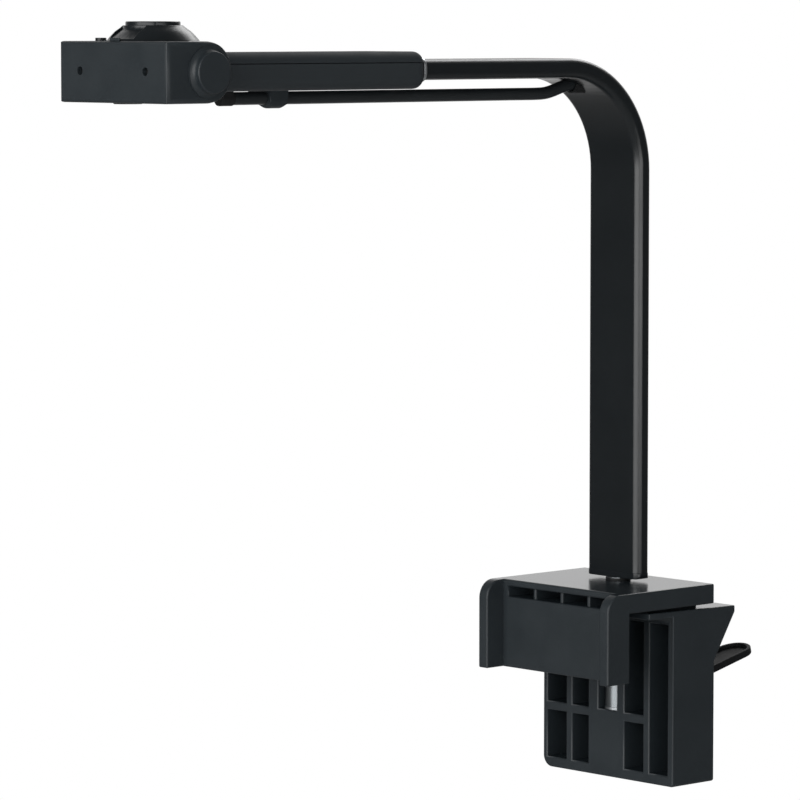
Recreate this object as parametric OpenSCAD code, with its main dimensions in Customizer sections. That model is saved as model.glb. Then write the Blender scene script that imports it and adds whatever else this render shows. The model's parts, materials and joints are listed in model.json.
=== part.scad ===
// Clamp-on document camera: a flat-oval arm swivels in a panel clamp and carries a tilting camera head.
// Units are millimetres. X is width, +Y is the rear, Z is up; the origin is the middle of the panel seat.

/* [Clamp] */
// Overall width of the clamp
clamp_w = 75.4; // [70:0.2:84]
// Height of the ribbed rear body below the panel seat
body_h = 70.2; // [68:0.2:90]
// Gap between the hook lip and the ribbed face
panel_gap = 25.2; // [20:0.2:30]
// Depth of the hook lip below the seat
lip_drop = 24.7; // [18:0.1:40]
// Thickness of the hook plate
plate_t = 8.2; // [8:0.1:10]
// Travel of the hook on its rails
hook_travel = 10; // [2:0.5:10]

/* [Lever] */
// Half width of the lever paddle
paddle_r = 8; // [7:0.1:9]
// Reach of the lever tip behind the seat
lever_reach = 90.6; // [70:0.2:110]
// Upward tilt of the released paddle
paddle_tilt = 13.5; // [8:0.5:16]

/* [Arm] */
// Width of the arm bar
bar_w = 30; // [29:0.2:31]
// Thickness of the arm bar
bar_t = 8; // [8:0.1:8.6]
// Wall thickness of the arm bar
bar_wall = 1.2; // [1:0.05:1.2]
// Height of the horizontal part of the arm above the seat
arm_z = 223.7; // [200:0.1:260]
// Centreline radius of the bend
bend_r = 42; // [40:0.5:44]

/* [Head] */
// Half width of the camera head
head_hw = 31.8; // [31:0.1:36]
// Half height of the camera head
head_hh = 11.45; // [11.4:0.05:11.6]
// Forward reach of the hinge axis
head_reach = 235.3; // [230:0.1:260]
// Radius of the dial at its foot
dial_r = 17.5; // [16.5:0.1:18]
// Diameter of the lead
lead_d = 5; // [4.5:0.1:5]

/* [Hidden] */
$fn = 64;
eps = 0.02;
cut = 1;
half_w = clamp_w / 2;

// Rear body
seat_half = 7;
front_y = 7;
back_y = 31.6;
wing_y = 43.9;
wing_top_z = 1.9;
wing_low_z = -0.8;
wing_root_z = -20.2;
flange_top_z = 2.7;
wall_x = half_w - 3.2;
wall_left_x = half_w - 2.4;
rib_out_x = 24.2;
rib_in_x = 20.6;
boss_x = 11.2;
boss_right_x = 9.8;
channel_x = 5.4;
pocket_top_z = -3.5;
mid_top_z = -42.2;
mid_low_z = -46;
rail_z = -body_h + 4.4;
pocket_back_y = 28.6;
corner_left_r = 4.75;
corner_right_r = 1.2;
boss_plate_low_z = -46.4;
boss_plate_back_y = 21.5;
chamber_x = 8.6;
chamber_front_y = 8.4;
chamber_low_z = -66;
lever_gate_z = -32;
key_x0 = 25;
key_x1 = 29;
key_y0 = 0;
key_y1 = 30;
key_top_z = 5.25;

// Spindle, bushings and draw yoke
post_y = 13.2;
spindle_r = 4;
shoulder_r = 5.1;
bush_r = 4.04;
bush_upper_r = 5.5;
bush_lower_r = 5;
yoke_plate_low_z = -61;
yoke_plate_top_z = -58.1;
yoke_half_y = 3.6;
yoke_x0 = 6.8;
yoke_x1 = 8.4;
yoke_top_z = -47.2;
tail_r = 3;
pin_z = -51;
pin_r = 2;

// Lever
hub_r = 4;
hub_offset = 0.35;
cheek_x0 = 4.45;
cheek_x1 = 6.6;
paddle_y = 36;
paddle_z = -36.6;
paddle_t = 3;
paddle_rim = 1.7;
paddle_dish = 1.5;

// Hook
plate_z = 3.7;
plate_top_z = plate_z + plate_t;
plate_back_y = 31.4;
lip_back_y = front_y - panel_gap;
lip_t = 3.4;
lip_front_y = lip_back_y - lip_t;
rim_proud = 9.3;
rim_front_y = lip_front_y - rim_proud;
rim_x = half_w - 5.2;
rim_r = 7.5;
window_z0 = plate_z + 1.2;
window_z1 = window_z0 + 4.2;
window_depth = 16;
window_end_x = 29.6;
window_rib_x = 15.6;
window_rib_t = 1.8;
window_rib_back = 1.5;
slot_r = 4.3;
pad_t = 1.2;

// Arm bar and foot
bar_r = 3;
foot_z = 13.16;
foot_flange_t = 2.5;
bar_z0 = foot_z + foot_flange_t + eps;
bend_y = post_y - bend_r;
bend_z = arm_z - bend_r;
bar_end_y = -205;
tang_x = 8;
tang_t = 5.5;
tang_top_z = 40;
washer_z = plate_top_z + 0.03;
washer_t = 0.9;
washer_r = 5.2;
collar_z = washer_z + washer_t + eps;
foot_screw_z = [24, 34];
outlet_z = 52;

// Sleeve
sleeve_z = arm_z - 0.1;
sleeve_hw = 18;
sleeve_h = 14.6;
sleeve_back_y = -111.6;
sleeve_r = 4.6;
split_z = sleeve_z + 3;
split_gap = 0.25;
sleeve_low_z = sleeve_z - sleeve_h / 2;
sleeve_top_z = sleeve_z + sleeve_h / 2;
knuckle_r = 7.3;
sleeve_screws_at = [[12, -214], [-12, -214], [10, -135], [-10, -135]];

// Lead: route points as depth and height, straight under the arm and then up into the bend
lead_r = lead_d / 2;
lead_z = 213.35;
lead_start_y = -201;
lead_level_y = -36;
lead_rise = [[-30.5, 213.6], [-26, 214.5], [-21.5, 215.8], [-17, 216.8], [-12.5, 217.3], [-8.5, 217],
    [-5, 216], [-2.2, 214.2]];
lead_low_z = 58;
gland_y = -200.5;
lead_sides = 12;
clip_y0 = -180.9;
clip_y1 = -171.9;
clip_x = 4.2;
clip_low_z = 209.4;

// Head, measured from the hinge axis
head_y = -head_reach;
head_z = arm_z + 0.1;
face_y = -19.6;
wall = 2;
in_y = face_y + wall;
in_x = head_hw - wall;
ear_x = 18.6;
head_edge_r = 2;
pointer_x = 2.8;
cover_low_z = 9.62;
tongue_r = 13.5;
axle_r = 2.5;
mic_x = 19.1;
mic_z = 0.4;
lens_y = -12.2;
board_z = 4.4;
board_t = 1.4;
screw_x = 26;
screw_y = -12.5;
power_x = -20.4;
power_y = -8.5;
dial_z = head_hh + 0.15;
dial_foot = -0.1;
notch_x = 7;
cap_r = 7.8;
cap_out = 3.9;
cap_flare = 1.9;

module block(x0, x1, y0, y1, z0, z1) {
    translate([x0, y0, z0])
        cube([x1 - x0, y1 - y0, z1 - z0]);
}

// Solid along X from a drawing of depth and height
module along_x(x0, x1) {
    translate([x0, 0, 0])
        rotate([90, 0, 90])
            linear_extrude(x1 - x0)
                children();
}

// Solid along Y from a drawing of width and height
module along_y(y0, y1) {
    translate([0, y1, 0])
        rotate([90, 0, 0])
            linear_extrude(y1 - y0)
                children();
}

module along_z(z0, z1) {
    translate([0, 0, z0])
        linear_extrude(z1 - z0)
            children();
}

module rod_x(r, x0, x1, y, z) {
    translate([x0, y, z])
        rotate([0, 90, 0])
            cylinder(r = r, h = x1 - x0);
}

module rod_y(r, x, y0, y1, z) {
    translate([x, y0, z])
        rotate([-90, 0, 0])
            cylinder(r = r, h = y1 - y0);
}

module rod_z(r, x, y, z0, z1) {
    translate([x, y, z0])
        cylinder(r = r, h = z1 - z0);
}

module both_sides() {
    children();
    mirror([1, 0, 0])
        children();
}

module round_rect(w, h, r) {
    square([w - 2 * r, h], center = true);
    square([w, h - 2 * r], center = true);
    for (i = [-1, 1], j = [-1, 1])
        translate([i * (w / 2 - r), j * (h / 2 - r)])
            circle(r);
}

// Waste between a square corner and its round; the corner is at the origin, the solid towards +x +y
module corner_waste(r) {
    difference() {
        translate([-cut, -cut])
            square(r + cut);
        translate([r, r])
            circle(r);
    }
}

module ring_z(r_out, r_in, x, y, z0, z1) {
    difference() {
        rod_z(r_out, x, y, z0, z1);
        rod_z(r_in, x, y, z0 - cut, z1 + cut);
    }
}

// Screw along Z with its head at the foot
module screw_up(head_r, head_h, shank_r, length, x, y, z) {
    difference() {
        union() {
            rod_z(head_r, x, y, z, z + head_h);
            rod_z(shank_r, x, y, z + head_h / 2, z + head_h + length);
        }
        translate([x, y, z - cut])
            cylinder(r = head_r * 0.5, h = cut + head_h * 0.5, $fn = 6);
    }
}

// Clamp

module rear_profile() {
    polygon([[-seat_half, 0], [-seat_half, flange_top_z], [wing_y, wing_top_z], [wing_y, wing_low_z],
        [back_y, wing_root_z], [back_y, -body_h], [front_y, -body_h], [front_y, 0]]);
}

module rear_outline() {
    difference() {
        translate([-half_w, -body_h])
            square([clamp_w, body_h + flange_top_z + cut]);
        translate([-half_w, -body_h])
            corner_waste(corner_left_r);
        translate([half_w, -body_h])
            mirror([1, 0])
                corner_waste(corner_right_r);
    }
}

module pocket(x0, x1, z0, z1) {
    block(x0, x1, front_y - cut, pocket_back_y, z0, z1);
}

module front_pockets() {
    for (z = [[mid_top_z, pocket_top_z], [rail_z, mid_low_z]]) {
        pocket(-wall_left_x, -rib_out_x, z[0], z[1]);
        pocket(-rib_in_x, -boss_x, z[0], z[1]);
        pocket(boss_right_x, rib_in_x, z[0], z[1]);
    }
    pocket(-channel_x, channel_x, mid_top_z, pocket_top_z);
    pocket(rib_out_x, wall_x, rail_z, pocket_top_z);
}

module lever_chamber() {
    block(-chamber_x, chamber_x, chamber_front_y, back_y + cut, chamber_low_z, boss_plate_low_z);
    block(-chamber_x, chamber_x, boss_plate_back_y, back_y + cut, boss_plate_low_z - cut, lever_gate_z);
}

module wing_cores() {
    for (x = [[-wall_x, -rib_out_x], [-rib_in_x, rib_in_x], [rib_out_x, wall_x]])
        block(x[0], x[1], back_y, wing_y + cut, wing_root_z - cut, wing_low_z);
}

module rear_body() {
    color("#2b2f32")
        difference() {
            union() {
                intersection() {
                    along_x(-half_w, half_w)
                        rear_profile();
                    along_y(-seat_half - cut, wing_y + cut)
                        rear_outline();
                }
                both_sides()
                    block(key_x0, key_x1, key_y0, key_y1, 0, key_top_z);
            }
            front_pockets();
            lever_chamber();
            wing_cores();
            rod_z(bush_upper_r, 0, post_y, pocket_top_z - cut, flange_top_z + cut);
            rod_z(7, 0, post_y, 1, flange_top_z + cut);
            rod_z(bush_lower_r, 0, post_y, boss_plate_low_z - cut, mid_top_z + cut);
        }
}

module upper_bushing() {
    color("#8c7a4a")
        difference() {
            union() {
                rod_z(bush_upper_r - eps, 0, post_y, pocket_top_z, 1.5);
                rod_z(6.9, 0, post_y, 1 + eps, 1.95);
            }
            rod_z(bush_r, 0, post_y, pocket_top_z - cut, flange_top_z + cut);
        }
}

module lower_bushing() {
    color("#9a9da0")
        difference() {
            union() {
                rod_z(bush_lower_r - eps, 0, post_y, boss_plate_low_z, mid_top_z + 0.5);
                rod_z(channel_x - 0.1, 0, post_y, mid_top_z + eps, mid_top_z + 0.9);
            }
            rod_z(bush_r, 0, post_y, boss_plate_low_z - cut, mid_top_z + 2);
        }
}

module draw_yoke() {
    color("#777b7e")
        difference() {
            union() {
                block(-yoke_x1, yoke_x1, post_y - yoke_half_y, post_y + yoke_half_y,
                    yoke_plate_low_z, yoke_plate_top_z);
                both_sides()
                    block(yoke_x0, yoke_x1, post_y - yoke_half_y, post_y + yoke_half_y,
                        yoke_plate_low_z, yoke_top_z);
            }
            rod_z(tail_r + 0.05, 0, post_y, yoke_plate_low_z - cut, yoke_plate_top_z + cut);
            rod_x(pin_r, -yoke_x1 - cut, yoke_x1 + cut, post_y, pin_z);
        }
}

module lever_pins() {
    color("#b9bcbe")
        both_sides()
            rod_x(pin_r - eps, cheek_x0 + 0.05, yoke_x1 - 0.05, post_y, pin_z);
}

module cam_lever() {
    color("#26292b")
        difference() {
            union() {
                both_sides()
                    along_x(cheek_x0, cheek_x1) {
                        translate([post_y - hub_offset, pin_z + hub_offset])
                            circle(hub_r);
                        polygon([[post_y, pin_z - 3.4], [post_y, pin_z + 3.8], [22.9, pin_z + 4.1],
                            [25.5, pin_z - 0.8], [22.3, pin_z - 1.3]]);
                    }
                along_x(-cheek_x1, cheek_x1)
                    polygon([[22.3, pin_z - 1.3], [25.5, pin_z - 0.8], [33.5, -40.6], [38.5, -37.6],
                        [38.5, -34.9], [31.5, -36], [22.9, pin_z + 4.1], [22.3, pin_z + 4]]);
                lever_paddle();
            }
            rod_x(pin_r + 0.05, -yoke_x1, yoke_x1, post_y, pin_z);
        }
}

module paddle_plan(inset) {
    tip = (lever_reach - paddle_y) / cos(paddle_tilt) - paddle_r;
    translate([0, tip])
        circle(paddle_r - inset);
    polygon([[-cheek_x1 + inset, inset], [cheek_x1 - inset, inset], [paddle_r - inset, 10],
        [paddle_r - inset, tip], [-paddle_r + inset, tip], [-paddle_r + inset, 10]]);
}

module lever_paddle() {
    translate([0, paddle_y, paddle_z])
        rotate([paddle_tilt, 0, 0])
            difference() {
                along_z(-paddle_t / 2, paddle_t / 2)
                    paddle_plan(0);
                along_z(paddle_t / 2 - paddle_dish, paddle_t / 2 + cut)
                    difference() {
                        paddle_plan(paddle_rim);
                        translate([-paddle_r, -cut])
                            square([2 * paddle_r, 9 + cut]);
                    }
            }
}

module rim_profile() {
    difference() {
        union() {
            translate([rim_front_y, -lip_drop])
                square([lip_back_y - rim_front_y, lip_drop + plate_top_z]);
            translate([rim_front_y, plate_z])
                square([plate_back_y - rim_front_y, plate_t]);
        }
        translate([rim_front_y, plate_top_z])
            mirror([0, 1])
                corner_waste(rim_r);
    }
}

module plate_profile() {
    difference() {
        union() {
            translate([lip_front_y, -lip_drop])
                square([lip_t, lip_drop + plate_top_z]);
            translate([lip_front_y, plate_z])
                square([plate_back_y - lip_front_y, plate_t]);
        }
        translate([lip_front_y, plate_top_z])
            mirror([0, 1])
                corner_waste(1.2);
    }
}

// One slot under the front edge of the plate, crossed by three ribs set back in it
module hook_windows() {
    difference() {
        block(-window_end_x, window_end_x, lip_front_y - cut, lip_front_y + window_depth, window_z0, window_z1);
        for (x = [-window_rib_x, 0, window_rib_x])
            block(x - window_rib_t / 2, x + window_rib_t / 2, lip_front_y + window_rib_back, 0,
                window_z0 - cut, window_z1 + cut);
    }
}

module hook() {
    color("#2b2f32")
        difference() {
            union() {
                both_sides()
                    along_x(rim_x, half_w)
                        rim_profile();
                along_x(-rim_x - eps, rim_x + eps)
                    plate_profile();
            }
            hook_windows();
            for (y = [post_y, post_y + hook_travel])
                rod_z(slot_r, 0, y, plate_z - cut, plate_top_z + cut);
            block(-slot_r, slot_r, post_y, post_y + hook_travel, plate_z - cut, plate_top_z + cut);
            both_sides()
                block(key_x0 - 0.05, key_x1 + 0.05, key_y0 - 0.5, plate_back_y + cut,
                    plate_z - cut, key_top_z + 0.05);
        }
}

module lip_pad() {
    color("#1b1d1e")
        along_y(lip_back_y + eps, lip_back_y + pad_t)
            translate([0, -lip_drop / 2])
                round_rect(clamp_w - 15, lip_drop - 5, 2);
}

// Arm

module bar_section(grow) {
    round_rect(bar_w + 2 * grow, bar_t + 2 * grow, bar_r + grow);
}

module bar_path(grow, z0, y_end) {
    translate([0, post_y, 0])
        along_z(z0, bend_z)
            bar_section(grow);
    translate([0, bend_y, bend_z])
        rotate([90, 0, 90])
            rotate_extrude(angle = 90, $fn = 128)
                translate([bend_r, 0])
                    rotate(90)
                        bar_section(grow);
    translate([0, 0, arm_z])
        along_y(y_end, bend_y)
            bar_section(grow);
}

// Rod between two points of the middle plane, given as depth and height
module rod_between(r, a, b) {
    d = b - a;
    translate([0, a[0], a[1]])
        rotate([atan2(d[1], d[0]) - 90, 0, 0])
            cylinder(r = r, h = norm(d));
}

module lead_passage(r) {
    rod_between(r, [-26, 214.5], [-17, 216.8]);
    rod_between(r, [-17.6, 216.7], [-12, 217.3]);
    rod_between(r, [-13, 217.25], [-8, 216.95]);
    rod_between(r, [-9, 217.1], [-2, 214.1]);
}

module spindle() {
    color("#c4c7c9")
        difference() {
            union() {
                rod_z(tail_r, 0, post_y, -64.8, -57);
                rod_z(spindle_r, 0, post_y, -57.9, collar_z + 0.1);
                rod_z(shoulder_r, 0, post_y, mid_top_z + 1, pocket_top_z - 0.1);
                rod_z(5, 0, post_y, collar_z, foot_z - eps);
                block(-tang_x, tang_x, post_y - tang_t / 2, post_y + tang_t / 2, foot_z - 0.1, tang_top_z);
            }
            for (z = foot_screw_z)
                rod_y(1.5, 0, 11, post_y + bar_t, z);
        }
}

module spindle_nut() {
    color("#9a9da0")
        difference() {
            translate([0, post_y, -64.4])
                cylinder(r = 4.5, h = 3.3, $fn = 6);
            rod_z(tail_r + eps, 0, post_y, -64.4 - cut, -60);
        }
}

module thrust_washer() {
    color("#1d1f21")
        ring_z(washer_r, spindle_r + 0.2, 0, post_y, washer_z, washer_z + washer_t);
}

// Plate under the end of the tube, flush with it and rounded at its lower ends
module foot_flange() {
    difference() {
        along_z(foot_z, foot_z + foot_flange_t)
            bar_section(0);
        both_sides()
            along_y(-bar_t, bar_t)
                translate([bar_w / 2, foot_z])
                    mirror([1, 0])
                        corner_waste(1.6);
    }
}

module foot_plug() {
    color("#222527")
        difference() {
            translate([0, post_y, 0]) {
                foot_flange();
                both_sides()
                    block(tang_x + 0.1, bar_w / 2 - bar_r - 0.2, -tang_t / 2, tang_t / 2,
                        foot_z + cut, tang_top_z - 4);
            }
            block(-tang_x - eps, tang_x + eps, post_y - tang_t / 2 - eps, post_y + tang_t / 2 + eps,
                foot_z - cut, tang_top_z);
        }
}

module foot_screws() {
    color("#55595c")
        for (z = foot_screw_z)
            difference() {
                union() {
                    rod_y(2.7, 0, post_y + bar_t / 2 + eps, post_y + bar_t / 2 + 1.8, z);
                    rod_y(1.48, 0, 11.2, post_y + bar_t / 2 + 0.5, z);
                }
                translate([0, post_y + bar_t / 2 + 0.8, z])
                    rotate([-90, 0, 0])
                        cylinder(r = 1.4, h = 2, $fn = 6);
            }
}

module arm_bar() {
    color("#1f2224")
        difference() {
            bar_path(0, bar_z0, bar_end_y);
            bar_path(-bar_wall, bar_z0 - cut, bar_end_y - cut);
            lead_passage(lead_r + 0.5);
            for (z = foot_screw_z)
                rod_y(1.6, 0, post_y, post_y + bar_t, z);
            rod_y(3.5, 0, post_y, post_y + bar_t, outlet_z);
            for (p = sleeve_screws_at)
                rod_z(1.6, p[0], p[1], arm_z - bar_t, arm_z + bar_t);
        }
}

module bend_grommet() {
    color("#151617")
        difference() {
            intersection() {
                rod_between(lead_r + 1, [-15.6, 217], [-8, 217]);
                rod_x(bend_r - bar_t / 2 - eps, -10, 10, bend_y, bend_z, $fn = 256);
            }
            rod_between(lead_r + 0.45, [-18, 217], [-5, 217]);
        }
}

module outlet_grommet() {
    color("#151617")
        difference() {
            union() {
                rod_y(4.6, 0, post_y + bar_t / 2 + eps, post_y + bar_t / 2 + 1.4, outlet_z);
                rod_y(3.46, 0, post_y + bar_t / 2 - bar_wall, post_y + bar_t / 2 + 0.5, outlet_z);
            }
            rod_y(2.5, 0, post_y, post_y + bar_t, outlet_z);
        }
}

function straight_run() = [for (i = [0:15]) [lead_start_y + i * (lead_level_y - lead_start_y) / 15, lead_z]];
function bend_run() = [for (a = [46:-6.5714:0]) [bend_y + bend_r * cos(a), bend_z + bend_r * sin(a)]];
function post_run() = [for (i = [1:12]) [post_y, bend_z + i * (lead_low_z - bend_z) / 12]];
lead_route = concat(straight_run(), lead_rise, bend_run(), post_run());
lead_last = len(lead_route) - 1;
function lead_way(i) = lead_route[min(i + 1, lead_last)] - lead_route[max(i - 1, 0)];
function lead_normal(i) = [-lead_way(i)[1], lead_way(i)[0]] / norm(lead_way(i));
function lead_point(i, k) =
    let (a = 360 * k / lead_sides, n = lead_normal(i), p = lead_route[i])
    [lead_r * cos(a), p[0] + lead_r * sin(a) * n[0], p[1] + lead_r * sin(a) * n[1]];

module lead() {
    rings = lead_last + 1;
    points = [for (i = [0:lead_last], k = [0:lead_sides - 1]) lead_point(i, k)];
    skin = [for (i = [0:lead_last - 1], k = [0:lead_sides - 1])
        let (a = i * lead_sides + k, b = i * lead_sides + (k + 1) % lead_sides)
        [a, a + lead_sides, b + lead_sides, b]];
    first = [[for (k = [0:lead_sides - 1]) k]];
    last = [[for (k = [lead_sides - 1:-1:0]) (rings - 1) * lead_sides + k]];
    color("#17191a")
        polyhedron(points, concat(skin, first, last), convexity = 6);
}

module lead_gland() {
    color("#151617")
        difference() {
            union() {
                rod_y(lead_r + 0.3, 0, gland_y - 3, gland_y + 3.4, lead_z);
                block(-2.6, 2.6, gland_y - 3, gland_y + 2.4, lead_z, sleeve_low_z - eps);
                rod_z(2.4, 0, gland_y, sleeve_low_z - 1, sleeve_low_z + 3);
            }
            rod_y(lead_r + eps, 0, lead_start_y - eps, gland_y + 5, lead_z);
        }
}

module lead_clip() {
    color("#1d1f21")
        difference() {
            union() {
                intersection() {
                    along_x(-clip_x, clip_x)
                        polygon([[clip_y0, sleeve_low_z - eps], [clip_y0, 211.4], [clip_y0 + 1.8, clip_low_z],
                            [clip_y1 - 1.8, clip_low_z], [clip_y1, 211.4], [clip_y1, sleeve_low_z - eps]]);
                    along_y(clip_y0, clip_y1)
                        translate([0, clip_low_z + 5])
                            round_rect(2 * clip_x, 10, 3.4);
                }
                block(-11, -3, clip_y0 + 1.5, clip_y1 - 1.5, sleeve_low_z - 1.8, sleeve_low_z - eps);
            }
            rod_y(lead_r + eps, 0, clip_y0 - cut, clip_y1 + cut, lead_z);
            rod_z(1.3, -8.2, (clip_y0 + clip_y1) / 2, sleeve_low_z - 3, sleeve_low_z + cut);
        }
}

module clip_screw() {
    color("#55595c")
        screw_up(2.2, 1.3, 1.25, 4.6, -8.2, (clip_y0 + clip_y1) / 2, sleeve_low_z - 1.8 - 1.3 - eps);
}

// Sleeve

module sleeve_side() {
    difference() {
        translate([head_y, sleeve_low_z])
            square([sleeve_back_y - head_y, sleeve_h]);
        translate([sleeve_back_y, sleeve_low_z])
            mirror([1, 0])
                corner_waste(4);
        translate([sleeve_back_y, sleeve_top_z])
            rotate(180)
                corner_waste(4);
    }
}

module sleeve_plan() {
    difference() {
        translate([-sleeve_hw, head_y])
            square([2 * sleeve_hw, sleeve_back_y - head_y]);
        for (m = [0, 1])
            mirror([m, 0])
                translate([sleeve_hw, sleeve_back_y])
                    rotate(180)
                        corner_waste(3);
    }
}

module sleeve_solid() {
    intersection() {
        along_x(-sleeve_hw, sleeve_hw)
            sleeve_side();
        along_z(sleeve_low_z - cut, sleeve_top_z + cut)
            sleeve_plan();
        translate([0, 0, sleeve_z])
            along_y(head_y, sleeve_back_y)
                round_rect(2 * sleeve_hw, sleeve_h, sleeve_r);
    }
}

module sleeve_hollow() {
    translate([0, 0, arm_z])
        along_y(bar_end_y - 0.3, sleeve_back_y + cut)
            bar_section(0.04);
    block(-9, 9, -216, bar_end_y + cut, arm_z - 4.5, split_z);
    rod_x(8.2, -sleeve_hw - cut, sleeve_hw + cut, head_y, head_z);
}

module sleeve_lower() {
    color("#2a2e31")
        difference() {
            union() {
                difference() {
                    sleeve_solid();
                    sleeve_hollow();
                    block(-30, 30, head_y - cut, sleeve_back_y + cut, split_z - split_gap / 2, sleeve_top_z + cut);
                }
                rod_x(knuckle_r, -sleeve_hw, sleeve_hw, head_y, head_z);
                block(-sleeve_hw, sleeve_hw, head_y, head_y + 9, head_z - 4, split_z - split_gap / 2);
            }
            rod_x(axle_r + 0.05, -20, 20, head_y, head_z);
            rod_z(2.5, 0, gland_y, sleeve_low_z - cut, arm_z - 4);
            rod_z(1.25, -8.2, (clip_y0 + clip_y1) / 2, sleeve_low_z - cut, sleeve_low_z + 3.2);
            for (p = sleeve_screws_at) {
                rod_z(1.4, p[0], p[1], sleeve_low_z - cut, split_z + cut);
                rod_z(2.7, p[0], p[1], sleeve_low_z - cut, sleeve_low_z + 1.9);
            }
        }
}

module sleeve_upper() {
    color("#2a2e31")
        difference() {
            sleeve_solid();
            sleeve_hollow();
            block(-30, 30, head_y - cut, sleeve_back_y + cut, sleeve_low_z - cut, split_z + split_gap / 2);
            for (p = sleeve_screws_at)
                rod_z(1.27, p[0], p[1], split_z, split_z + 2.6);
        }
}

module sleeve_screws() {
    color("#55595c")
        for (p = sleeve_screws_at)
            screw_up(2.5, 1.6, 1.25, 10.6, p[0], p[1], sleeve_low_z + 0.25);
}

module sleeve_collar() {
    color("#b4b8ba")
        translate([0, 0, arm_z])
            along_y(sleeve_back_y + eps, sleeve_back_y + 1.3)
                difference() {
                    bar_section(1);
                    bar_section(0.03);
                }
}

// Head

module at_head() {
    translate([0, head_y, head_z])
        children();
}

module head_side() {
    difference() {
        union() {
            translate([face_y, -head_hh])
                square([-face_y, 2 * head_hh]);
            circle(head_hh);
        }
        for (m = [0, 1])
            mirror([0, m])
                translate([face_y, -head_hh])
                    corner_waste(1.3);
    }
}

module head_plan() {
    difference() {
        translate([-head_hw, face_y])
            square([2 * head_hw, 2 * head_hh - face_y]);
        for (m = [0, 1])
            mirror([m, 0])
                translate([-head_hw, face_y])
                    corner_waste(2);
    }
}

module head_shell() {
    color("#2b2f32")
        at_head() {
            block(-pointer_x, pointer_x, face_y + 1, in_y - 0.1, head_hh - 0.6, head_hh + 1.3);
            difference() {
                intersection() {
                    along_x(-head_hw, head_hw)
                        head_side();
                    along_z(-head_hh - cut, head_hh + cut)
                        head_plan();
                    along_y(face_y - cut, head_hh + cut)
                        round_rect(2 * head_hw, 2 * head_hh, head_edge_r);
                }
                block(-in_x, in_x, in_y, -6, -head_hh + wall, cover_low_z);
                block(-in_x, in_x, in_y, -2, cover_low_z - cut, head_hh + cut);
                block(-ear_x, ear_x, -7.9, head_hh + cut, -head_hh + wall, head_hh + cut);
                block(-ear_x, ear_x, -3.6, head_hh + cut, -head_hh - cut, 0);
                rod_x(axle_r + 0.01, -head_hw - cut, head_hw + cut, 0, 0);
                both_sides()
                    rod_y(1.6, mic_x, face_y - cut, in_y + cut, mic_z);
                rod_z(5.45, 0, lens_y, -head_hh - cut, 0);
                both_sides() {
                    rod_z(1.2, screw_x, screw_y, -head_hh - cut, 0);
                    rod_z(2.2, screw_x, screw_y, -head_hh - cut, -head_hh + 1.1);
                }
            }
        }
}

module cover_plan() {
    translate([-in_x + 0.05, in_y + 0.05])
        square([2 * in_x - 0.1, -2.1 - in_y]);
    translate([-ear_x + 0.3, in_y + 0.05])
        square([2 * ear_x - 0.6, -in_y - 0.05]);
    circle(tongue_r);
}

module head_cover() {
    color("#2b2f32")
        at_head()
            difference() {
                union() {
                    along_z(cover_low_z + eps, head_hh)
                        cover_plan();
                    both_sides() {
                        rod_z(2.5, screw_x, screw_y, -head_hh + wall + eps, cover_low_z + 0.5);
                        rod_z(1.8, 13, -14.6, board_z + board_t + eps, cover_low_z + 0.5);
                    }
                    for (a = [205:7.5:235])
                        rotate(a)
                            block(18.3, 19.8, -0.3, 0.3, head_hh - 0.2, head_hh + 0.35);
                }
                rod_z(2.25, power_x, power_y, 0, head_hh + cut);
                both_sides()
                    rod_z(1.02, screw_x, screw_y, -head_hh, -1.5);
            }
}

module head_screws() {
    color("#55595c")
        at_head()
            both_sides()
                screw_up(2, 0.9, 1, 7.4, screw_x, screw_y, -head_hh + 0.15);
}

module hinge_axle() {
    color("#b9bcbe")
        at_head()
            rod_x(axle_r - 0.01, -head_hw - 2.2, head_hw + 2.2, 0, 0);
}

module cap_section() {
    difference() {
        union() {
            square([cap_r, cap_out]);
            square([cap_r + cap_flare, 0.5 + cap_flare]);
        }
        translate([cap_r + cap_flare, 0.5 + cap_flare])
            circle(cap_flare);
        translate([cap_r, cap_out])
            rotate(180)
                corner_waste(0.5);
        translate([-cut, -cut])
            square([axle_r + 0.1 + cut, 2.4 + cut]);
    }
}

module hinge_caps() {
    color("#2b2f32")
        at_head()
            both_sides()
                translate([head_hw + eps, 0, 0])
                    rotate([0, 90, 0])
                        rotate_extrude()
                            cap_section();
}

module friction_washers() {
    color("#8a8d90")
        at_head()
            both_sides()
                difference() {
                    rod_x(6.5, sleeve_hw + 0.04, ear_x - 0.04, 0, 0);
                    rod_x(axle_r + 0.05, sleeve_hw - cut, ear_x + cut, 0, 0);
                }
}

module lens_bezel() {
    color("#101112")
        at_head()
            ring_z(5.43, 4.3, 0, lens_y, -head_hh - 0.4, -head_hh + wall);
}

module lens_barrel() {
    color("#17181a")
        at_head()
            difference() {
                rod_z(4.28, 0, lens_y, -head_hh + 0.3, -1);
                rod_z(3.4, 0, lens_y, -head_hh, -head_hh + 2.4);
                rod_z(2.6, 0, lens_y, -head_hh, -2);
            }
}

module lens_glass() {
    color("#20304a")
        at_head()
            intersection() {
                rod_z(3.38, 0, lens_y, -head_hh + 0.6, -head_hh + 2.38);
                translate([0, lens_y, -head_hh + 7.6])
                    sphere(r = 7);
            }
}

module sensor_board() {
    color("#1d5a3a")
        at_head()
            block(-8, 8, -17.2, -8.2, -0.98, 0.4);
}

module main_board() {
    color("#1d5a3a")
        at_head() {
            block(-22, 22, -17.2, -8.4, board_z, board_z + board_t);
            block(-23.2, -18.8, -8.5, -6.3, board_z, board_z + board_t);
            block(4, 12, -13, -9.4, board_z - 1.2, board_z + 0.1);
            block(16, 21, -16, -11, board_z + board_t - 0.1, board_z + board_t + 1.1);
        }
}

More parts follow.
